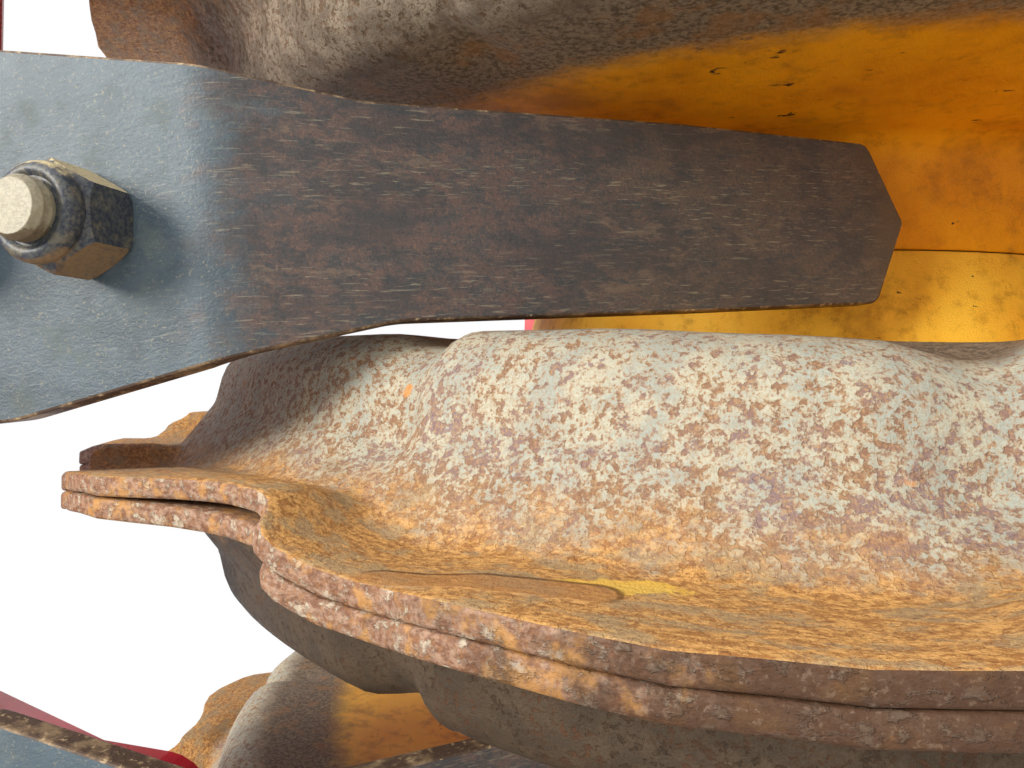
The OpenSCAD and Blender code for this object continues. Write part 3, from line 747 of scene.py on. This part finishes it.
# %% Fastener finishes
def dust_and_shade_steel(name, dark, light, dust, shaded_dust, share):
    f = Finish(name, specular=0.35)
    normal = f.split(f.add("TexCoord").outputs["Normal"])
    ragged = f.times(f.maths("SUBTRACT", f.grain(1.6 * MM, 5, 0.68), 0.5), 0.9)
    dust_and_shade_mask = f.step(f.plus(f.maths("ABSOLUTE", normal[0]), ragged), share, share + 0.25)
    metal = f.mix(f.step(f.grain(0.9 * MM, 4, 0.65), 0.40, 0.62), dark, light)
    metal = f.mix(f.times(f.step(f.grain(2.5 * MM, 4, 0.65), 0.50, 0.66), 0.5), metal, (0.20, 0.17, 0.10))
    # Painted shade: faces that look down along the axle get the darker copy of the dust
    toward_light = f.step(normal[0], -0.2, 0.2)
    tan = f.mix(toward_light, shaded_dust, dust)
    tan = f.mix(f.times(f.step(f.grain(0.7 * MM, 4, 0.7), 0.45, 0.66), 0.5), tan,
                tuple(0.5 * c for c in shaded_dust))
    colour = f.mix(f.times(dust_and_shade_mask, 0.92), metal, tan)
    return f.finish(colour, f.plus(0.42, f.times(dust_and_shade_mask, 0.4)), f.grain(0.7 * MM, 4, 0.65), 0.10 * MM)


nut_finish = dust_and_shade_steel("nut_black_oxide", (0.022, 0.028, 0.045), (0.075, 0.080, 0.078), (0.56, 0.47, 0.28),
                         (0.25, 0.16, 0.08), 0.58)
bolt_finish = dust_and_shade_steel("bolt_plated", (0.27, 0.245, 0.175), (0.35, 0.31, 0.215), (0.30, 0.27, 0.20),
                          (0.16, 0.12, 0.07), 0.45)
print("fastener materials:", nut_finish.name, bolt_finish.name)

# %% [markdown]
# Each joint takes a nut and the bolt's end on one side, and a washer and the head on the
# other. One helper puts such a set at a place whose Z axis is the bolt's, with its grip.


# %% Bolt sets on the scrapers and the bearing housings
def joined(*parts):
    """The given (form, place) pairs as one bmesh."""
    made = bmesh.new()
    for form, place in parts:
        mesh = bpy.data.meshes.new("part")
        form.to_mesh(mesh)
        mesh.transform(place)
        made.from_mesh(mesh)
        bpy.data.meshes.remove(mesh)
    return made


def bolt_set(name, place, grip, spin):
    """Nut and bolt end at the origin of place, washer and head a grip behind it."""
    turn_nut = Matrix.Rotation(spin, 4, "Z")
    behind = Matrix.Translation((0, 0, -grip)) @ Matrix.Rotation(math.pi, 4, "X")
    past_washer = Matrix.Translation((0, 0, WASHER_T * MM))
    pair = joined((nut, place @ turn_nut), (washer, place @ behind),
                  (head, place @ behind @ past_washer @ turn_nut))
    piece(name + "_nut", pair, Matrix.Identity(4), "frame", (nut_finish,))
    pair.free()
    piece(name + "_end", bolt_end, place, "frame", (bolt_finish,))


FACE_OUT = Matrix.Rotation(math.pi / 2, 4, "X")
for k in range(1, RING_COUNT):
    for row in (0, 1):
        at = bolt_place(k) @ Matrix.Translation((row * BOLT_PITCH, 0, 0)) @ FACE_OUT
        bolt_set(f"scraper_bolt_{k}_{row + 1}", at, BLADE_T + LUG_T,
                 0.9 * row + 0.4 * (k - 4) + 0.05)
HOUSING_T, ARM_T, HOUSING_PITCH = 14 * MM, 15 * MM, 108 * MM
for side, end in ((-1, "left"), (1, "right")):
    low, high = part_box(f"arm_{end}")
    outer = (high.x if side > 0 else -low.x) + HOUSING_T
    for i, (rise, rear) in enumerate(((1, 1), (1, -1), (-1, -1), (-1, 1))):
        hole = Vector((side * outer, rear * HOUSING_PITCH / 2, rise * HOUSING_PITCH / 2))
        at = Matrix.Translation(AXLE + hole)
        bolt_set(f"housing_bolt_{end}_{i + 1}", at @ Matrix.Rotation(side * math.pi / 2, 4, "Y"),
                 HOUSING_T + ARM_T, 0.35 * i)
print("bolt sets:", 2 * (RING_COUNT - 1) + 8)

# %% [markdown]
# The frame is welded. A weld bead is a thin bar with a small swelling at each stroke of the
# welder, so one is swept along a straight line and its points are moved in and out a little.
# A bearing housing also has a grease nipple on its boss.


# %% Weld beads and grease nipples
BEAD_STEP, BEAD_STROKE, BEAD_SWELL = 1.3 * MM, 4.2 * MM, 0.12


def ripple_bead(length, radius):
    bm = bmesh.new()
    bmesh.ops.create_circle(bm, segments=8, radius=radius)
    bmesh.ops.rotate(bm, verts=bm.verts, cent=(0, 0, 0), matrix=Matrix.Rotation(math.pi / 2, 3, "Y"))
    steps = max(8, round(length / BEAD_STEP))
    bmesh.ops.spin(bm, geom=bm.verts[:] + bm.edges[:], cent=(0, 0, 0), axis=(1, 0, 0), angle=0,
                   dvec=(length / steps, 0, 0), steps=steps)
    bmesh.ops.edgeloop_fill(bm, edges=[e for e in bm.edges if len(e.link_faces) == 1])
    for v in bm.verts:
        from_end = min(v.co.x, length - v.co.x)
        stroke = math.cos(math.tau * v.co.x / BEAD_STROKE)
        swell = (1 + BEAD_SWELL * stroke) * between(from_end, -radius, radius)
        v.co.y *= swell
        v.co.z *= swell
    bmesh.ops.recalc_face_normals(bm, faces=bm.faces)
    for face in bm.faces:
        face.smooth = True
    return bm


def weld_beads(name, place, corners, radius, closed=False):
    """Beads from corner to corner, in the frame of place."""
    points = [Vector(c) for c in corners]
    runs = list(zip(points, points[1:] + points[:1] if closed else points[1:]))
    parts = []
    for a, b in runs:
        turn = Vector((1, 0, 0)).rotation_difference(b - a).to_matrix().to_4x4()
        parts.append((ripple_bead((b - a).length, radius), place @ Matrix.Translation(a) @ turn))
    made = joined(*parts)
    piece(name, made, Matrix.Identity(4), "frame", (weld_finish,))
    made.free()
    for bm, _ in parts:
        bm.free()


def weld_paint():
    f = Finish("weld_red_paint", roughness=0.45, specular=0.45)
    red = f.mix(f.step(f.grain(4 * MM, 4, 0.6), 0.4, 0.65), (0.46, 0.012, 0.028), (0.30, 0.014, 0.020))
    rust = f.step(f.grain(7 * MM, 5, 0.68), 0.58, 0.66)
    return f.finish(f.mix(f.times(rust, 0.8), red, (0.24, 0.10, 0.05)), None, f.grain(1.2 * MM, 3), 0.15 * MM)


weld_finish = weld_paint()
LUG_TOP, LUG_HALF, BAR_HALF = 64 * MM, 28 * MM, 30 * MM
BAR_CORNER, FOOT_BEYOND, BEAM_CORNER = 7 * MM, 12 * MM, 10 * MM
PLATE_DROP, PLATE_SHORT, BEAM_INSET = 8 * MM, 12 * MM, 1 * MM
for k in range(1, RING_COUNT):
    weld_beads(f"lug_weld_{k}", bolt_place(k), ((LUG_TOP, BLADE_T + LUG_T, -LUG_HALF),
                                                (LUG_TOP, BLADE_T + LUG_T, LUG_HALF)), 2.6 * MM)
BAR = bolt_place(4) @ Vector((LUG_TOP + BAR_HALF, BLADE_T + LUG_T / 2, 0))
for side, end in ((-1, "left"), (1, "right")):
    low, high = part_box(f"bar_foot_{end}")
    inner, outer = (low.x, high.x) if side > 0 else (high.x, low.x)
    for name, x, half in (("bar", inner, BAR_HALF), ("foot", outer, BAR_HALF + FOOT_BEYOND)):
        at = Matrix.Translation((x, BAR.y, BAR.z)) @ AXLE_TURN @ Matrix.Rotation(END_RISE, 4, "Z")
        for i in range(4):
            turn = at @ Matrix.Rotation(i * math.pi / 2, 4, "Z")
            run = half - BAR_CORNER
            weld_beads(f"{name}_weld_{end}_{i + 1}", turn, ((-run, -half, 0), (run, -half, 0)), 2.8 * MM)
low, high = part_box("cross_beam")
plate_low, plate_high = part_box("mounting_plate")
for name, z in (("upper", high.z), ("lower", low.z)):
    weld_z = z - math.copysign(PLATE_DROP, z)
    ends = (plate_low.x + PLATE_SHORT, plate_high.x - PLATE_SHORT)
    weld_beads(f"plate_weld_{name}", Matrix.Identity(4), [(x, plate_low.y, weld_z) for x in ends], 4.5 * MM)
for side, end in ((-1, "left"), (1, "right")):
    x = (high.x if side > 0 else low.x) - side * BEAM_INSET
    middle = Vector((x, (low.y + high.y) / 2, 0))
    half = (high.z - low.z) / 2
    for i in range(4):
        turn = Matrix.Translation(middle) @ Matrix.Rotation(i * math.pi / 2, 4, "X")
        run = half - BEAM_CORNER
        weld_beads(f"beam_weld_{end}_{i + 1}", turn, ((0, -run, half), (0, run, half)), 4 * MM)

NIPPLE = ((0, -1), (4.4, -1), (4.4, 3.2), (3.6, 4.0), (2.4, 4.6), (2.2, 7.0), (3.2, 8.0), (3.2, 9.2),
          (2.2, 10.6), (0.8, 11.2), (0, 11.2))
BOSS_R, NIPPLE_LEAN, NIPPLE_INSET = 58 * MM, math.radians(35), 9 * MM
nipple = turned(NIPPLE, 20)
for side, end in ((-1, "left"), (1, "right")):
    low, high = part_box(f"housing_{end}")
    x = high.x - NIPPLE_INSET if side > 0 else low.x + NIPPLE_INSET
    lean = Matrix.Rotation(-NIPPLE_LEAN, 4, "X") @ Matrix.Translation((0, 0, BOSS_R))
    at = Matrix.Translation((x, AXLE.y, AXLE.z)) @ lean
    piece(f"grease_nipple_{end}", nipple, at, "frame", (bolt_finish,))
nipple.free()
print("weld beads and nipples are on")

# %% [markdown]
# The pieces that the CAD model already draws well keep their meshes and only get a finish:
# red paint with dust and chips on the frame, rough cast iron on the housings, turned
# steel on the shafts, and plain rusty steel on the core.


# %% Finishes for the CAD nodes
def frame_paint():
    f = Finish("frame_red_paint")
    f.shader.inputs["Coat Weight"].default_value = 0.25
    f.shader.inputs["Coat Roughness"].default_value = 0.25
    cloud = f.step(f.grain(120 * MM, 4), 0.3, 0.7)
    red = f.mix(cloud, (0.50, 0.012, 0.030), (0.60, 0.022, 0.042))
    edge = f.times(f.maths("SUBTRACT", f.grain(6 * MM, 4), 0.5), 0.3)
    dust = f.step(f.plus(f.grain(60 * MM, 6, 0.68), edge), 0.52, 0.74)
    red = f.mix(f.times(dust, 0.42), red, (0.42, 0.24, 0.16))
    chip = f.step(f.grain(5 * MM, 5, 0.72), 0.70, 0.725)
    red = f.mix(chip, red, (0.10, 0.05, 0.035))
    height = f.plus(f.times(f.grain(3.5 * MM, 2), 0.25), f.times(chip, -0.8))
    return f.finish(red, f.plus(0.34, f.times(dust, 0.28)), height, 0.12 * MM)


def cast_iron():
    f = Finish("housing_cast_iron", roughness=0.62, specular=0.4)
    skin = f.grain(1.4 * MM, 4, 0.6)
    grey = f.mix(f.step(f.grain(18 * MM, 4), 0.35, 0.65), (0.085, 0.088, 0.095), (0.13, 0.13, 0.13))
    rust = f.step(f.grain(9 * MM, 6, 0.7), 0.56, 0.66)
    grey = f.mix(f.times(rust, 0.75), grey, (0.27, 0.13, 0.06))
    return f.finish(grey, None, skin, 0.35 * MM)


def turned_steel():
    f = Finish("shaft_turned_steel", metallic=0.85)
    _, radius, x = f.around_axle()
    marks = f.grain(0.6 * MM, 2, vector=f.join(radius, x, 0.0))
    steel = f.mix(f.step(marks, 0.4, 0.6), (0.50, 0.49, 0.47), (0.62, 0.61, 0.59))
    stain = f.step(f.grain(7 * MM, 5, 0.65), 0.54, 0.68)
    steel = f.mix(f.times(stain, 0.8), steel, (0.30, 0.16, 0.08))
    return f.finish(steel, f.plus(0.30, f.times(stain, 0.35)), marks, 0.05 * MM)


def core_steel():
    f = Finish("core_rusty_steel", roughness=0.65, specular=0.35)
    angle, radius, x = f.around_axle()
    swept = f.join(f.times(angle, 100 * MM * 0.3), radius, x)
    rust = f.mix(f.step(f.grain(8 * MM, 6, 0.68), 0.38, 0.62), (0.13, 0.065, 0.035), (0.34, 0.17, 0.07))
    rust = f.mix(f.times(f.step(f.grain(3 * MM, 4, vector=swept), 0.55, 0.7), 0.5), rust, (0.20, 0.16, 0.12))
    return f.finish(rust, None, f.grain(3 * MM, 5, 0.65), 0.3 * MM)


CAD_FINISHES = ((frame_paint(), ("mounting_plate", "cross_beam", "arm_left", "arm_right", "gusset_left",
                                 "gusset_right", "scraper_bar", "bar_foot_left", "bar_foot_right",
                                 *(f"lug_{k}" for k in range(1, RING_COUNT)))),
                (cast_iron(), ("housing_left", "housing_right", "collar_left", "collar_right")),
                (turned_steel(), ("bearing_left", "bearing_right", "shaft_left", "shaft_right")),
                (core_steel(), ("core_tube", "end_disc_left", "end_disc_right")))
for finish, names in CAD_FINISHES:
    for name in names:
        nodes[name].data.materials.clear()
        nodes[name].data.materials.append(finish)
print("CAD nodes with a finish:", sum(len(names) for _, names in CAD_FINISHES))

# %% [markdown]
# The studio is plain: a pale floor under the rings, three large soft lamps and an even sky. The
# camera, glossy rays and glass see white in place of the sky, so the background is clean and
# the metal reflects it, while the light on the object stays as it is. Far from the object the
# floor glows a little, so that its edge fades into the white.


# %% Floor, light and background
def seen_white(tree):
    """1 for camera, glossy and transmission rays, and 0 for the light on the object."""
    path = tree.nodes.new("ShaderNodeLightPath").outputs
    seen = path["Is Camera Ray"]
    for kind in ("Is Transmission Ray", "Is Glossy Ray"):
        add = tree.nodes.new("ShaderNodeMath")
        add.operation, add.use_clamp = "ADD", True
        tree.links.new(seen, add.inputs[0])
        tree.links.new(path[kind], add.inputs[1])
        seen = add.outputs[0]
    return seen


world = bpy.data.worlds.new("studio")
bpy.context.scene.world = world
world.use_nodes = True
tree = world.node_tree
tree.nodes.clear()
sky, white = tree.nodes.new("ShaderNodeBackground"), tree.nodes.new("ShaderNodeBackground")
sky.inputs["Color"].default_value = (0.93, 0.96, 1.0, 1)
sky.inputs["Strength"].default_value = 0.42
white.inputs["Color"].default_value = (1, 1, 1, 1)
white.inputs["Strength"].default_value = 1.0
both, out = tree.nodes.new("ShaderNodeMixShader"), tree.nodes.new("ShaderNodeOutputWorld")
tree.links.new(seen_white(tree), both.inputs[0])
tree.links.new(sky.outputs[0], both.inputs[1])
tree.links.new(white.outputs[0], both.inputs[2])
tree.links.new(both.outputs[0], out.inputs["Surface"])

FLOOR_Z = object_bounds()[0].z
floor_mesh = bpy.data.meshes.new("studio_floor")
floor_bm = bmesh.new()
bmesh.ops.create_grid(floor_bm, x_segments=1, y_segments=1, size=6.0)
bmesh.ops.translate(floor_bm, verts=floor_bm.verts, vec=(0, 0, FLOOR_Z))
floor_bm.to_mesh(floor_mesh)
floor_bm.free()
floor = bpy.data.objects.new("studio_floor", floor_mesh)
bpy.context.scene.collection.objects.link(floor)
pale = Finish("studio_floor_pale", roughness=0.9, specular=0.2)
away = pale.add("VectorMath", {0: pale.place}, operation="LENGTH").outputs["Value"]
pale.feed(pale.shader.inputs["Emission Color"], (1, 1, 1))
pale.feed(pale.shader.inputs["Emission Strength"], pale.times(pale.step(away, 1.6, 5.0), 0.42))
pale.finish(pale.mix(pale.step(pale.grain(0.5, 3), 0.3, 0.7), (0.80, 0.80, 0.79), (0.83, 0.83, 0.82)))
floor_mesh.materials.append(pale.material)


def soft_lamp(name, place, target, size, power, colour):
    data = bpy.data.lights.new(name, "AREA")
    data.shape, data.size, data.energy, data.color = "DISK", size, power, colour
    lamp = bpy.data.objects.new(name, data)
    lamp.location = place
    lamp.rotation_euler = (Vector(target) - Vector(place)).to_track_quat("-Z", "Y").to_euler()
    bpy.context.scene.collection.objects.link(lamp)


soft_lamp("key_lamp", (0.85, -2.75, 1.75), (0, -0.43, -0.1), 1.0, 110, (1.0, 0.955, 0.87))
soft_lamp("fill_lamp", (1.9, -1.6, 0.9), (0, -0.45, -0.1), 2.2, 30, (0.94, 0.97, 1.0))
soft_lamp("front_lamp", (-1.6, 2.4, 1.9), (0, -0.3, -0.15), 1.6, 45, (0.97, 0.98, 1.0))
bpy.context.scene.view_settings.view_transform = "Standard"
print("floor at", round(FLOOR_Z, 4))

# %% [markdown]
